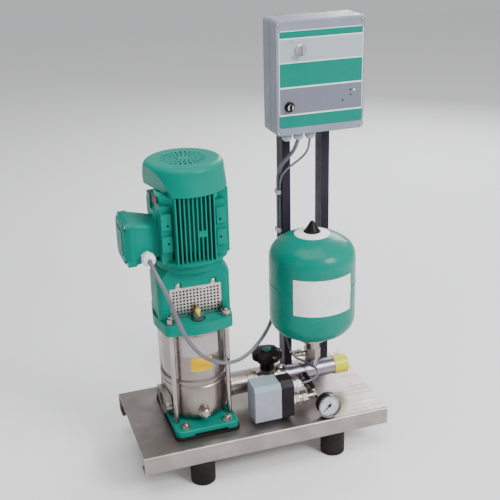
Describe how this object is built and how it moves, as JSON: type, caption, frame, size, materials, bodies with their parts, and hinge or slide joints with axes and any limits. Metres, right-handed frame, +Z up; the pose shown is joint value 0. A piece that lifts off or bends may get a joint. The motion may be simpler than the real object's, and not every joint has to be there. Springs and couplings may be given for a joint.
{
  "type": "booster pump set",
  "caption": "Vertical multistage pump with motor on a folded steel base, with a valve line, manifold, pressure vessel, pressure switch, gauge and a control box on two posts.",
  "frame": {"origin": "on the floor under the middle of the base plate", "axes": "+Z up, +X along the plate from the pump to the outlet, +Y towards the posts at the back"},
  "size_m": [0.6, 0.3, 1.015],
  "materials": {
    "board_green": "satin",
    "box_grey": "satin",
    "brass": "machined",
    "cable_grey": "matt",
    "copper_steel": "laminated",
    "green_paint": "semi gloss",
    "nickel": "satin",
    "pipe_steel": "satin",
    "plastic_black": "satin",
    "plastic_grey": "satin",
    "plastic_white": "satin",
    "plastic_yellow": "gloss",
    "post_paint": "satin",
    "rubber_black": "matt",
    "stainless": "brushed",
    "switch_silver": "satin",
    "zinc": "satin"
  },
  "bodies": {
    "set": {"base_plate": "stainless", "rubber_feet": "rubber_black", "frame_screws": "zinc", "support_posts": "post_paint", "pump_pad": "rubber_black", "pump_base": "green_paint", "base_nuts": "zinc", "pump_housing": "stainless", "drain_plug": "stainless", "outer_sleeve": "stainless", "tie_rods": "zinc", "lantern": "green_paint", "coupling_guards": "stainless", "cover_screws": "zinc", "vent_plug": "stainless", "vent_cap": "plastic_yellow", "stage_casings": "stainless", "motor_frame": "green_paint", "stator_core": "copper_steel", "motor_bearings": "zinc", "fan_cowl": "green_paint", "terminal_box": "green_paint", "terminal_lid": "green_paint", "terminal_board": "plastic_black", "cable_fittings": "plastic_white", "check_valve_body": "nickel", "check_spring": "zinc", "shutoff_body": "nickel", "manifold_pipe": "pipe_steel", "vessel_shell": "green_paint", "vessel_membrane": "rubber_black", "vessel_cap": "plastic_black", "vessel_fitting": "nickel", "switch_cover": "plastic_grey", "switch_base": "plastic_black", "switch_fitting": "nickel", "gauge_cock": "nickel", "gauge_case": "plastic_black", "box_base": "box_grey", "box_lid": "box_grey", "circuit_board": "board_green", "motor_cable": "cable_grey", "switch_cable": "cable_grey"},
    "shaft": {"pump_shaft": "stainless", "impellers": "stainless", "shaft_seal": "copper_steel", "coupling_shells": "copper_steel", "motor_rotor": "copper_steel", "fan": "plastic_black"},
    "knob": {"star_knob": "plastic_black", "valve_ball": "brass"},
    "check": {"check_disc": "brass"},
    "drain_cock": {"drain_lever": "nickel"},
    "cock": {"gauge_lever": "plastic_black"},
    "needle": {"gauge_pointer": "plastic_black"},
    "mains": {"main_switch": "switch_silver"},
    "selector": {"selector_knob": "plastic_black"},
    "cap": {"outlet_cap": "plastic_yellow"}
  },
  "joints": [
    {"name": "shaft_spin", "type": "hinge", "parent": "set", "child": "shaft", "pos_m": [-0.137, -0.003, 0.363], "axis": [0, 0, 1], "continuous": true},
    {"name": "valve_turn", "type": "hinge", "parent": "set", "child": "knob", "pos_m": [0.045, -0.003, 0.24], "axis": [0, 0, 1], "range_deg": [0, 90]},
    {"name": "check_lift", "type": "slide", "parent": "set", "child": "check", "axis": [1, 0, 0], "range_m": [0, 0.006], "stiffness_N_per_m": 150, "springref_m": -0.004, "deforming": ["check_spring"]},
    {"name": "drain_cock_turn", "type": "hinge", "parent": "set", "child": "drain_cock", "pos_m": [0.129, -0.003, 0.22], "axis": [0, 0, 1], "range_deg": [-90, 0]},
    {"name": "gauge_cock_turn", "type": "hinge", "parent": "set", "child": "cock", "pos_m": [0.13, -0.06044, 0.15593], "axis": [0, -0.1392, 0.9903], "range_deg": [0, 90]},
    {"name": "needle_turn", "type": "hinge", "parent": "set", "child": "needle", "pos_m": [0.153, -0.1166, 0.13673], "axis": [0, 0.9962, -0.0872], "range_deg": [0, 270], "stiffness_Nm_per_rad": 0.0004, "springref_deg": -20.05},
    {"name": "main_switch_turn", "type": "hinge", "parent": "set", "child": "mains", "pos_m": [0.1451, 0.02, 0.9508], "axis": [0, -1, 0], "range_deg": [0, 90]},
    {"name": "selector_turn", "type": "hinge", "parent": "set", "child": "selector", "pos_m": [0.1178, 0.02, 0.8266], "axis": [0, -1, 0], "range_deg": [-60, 60]},
    {"name": "cap_pull", "type": "slide", "parent": "set", "child": "cap", "axis": [1, 0, 0], "range_m": [0, 0.05]}
  ]
}
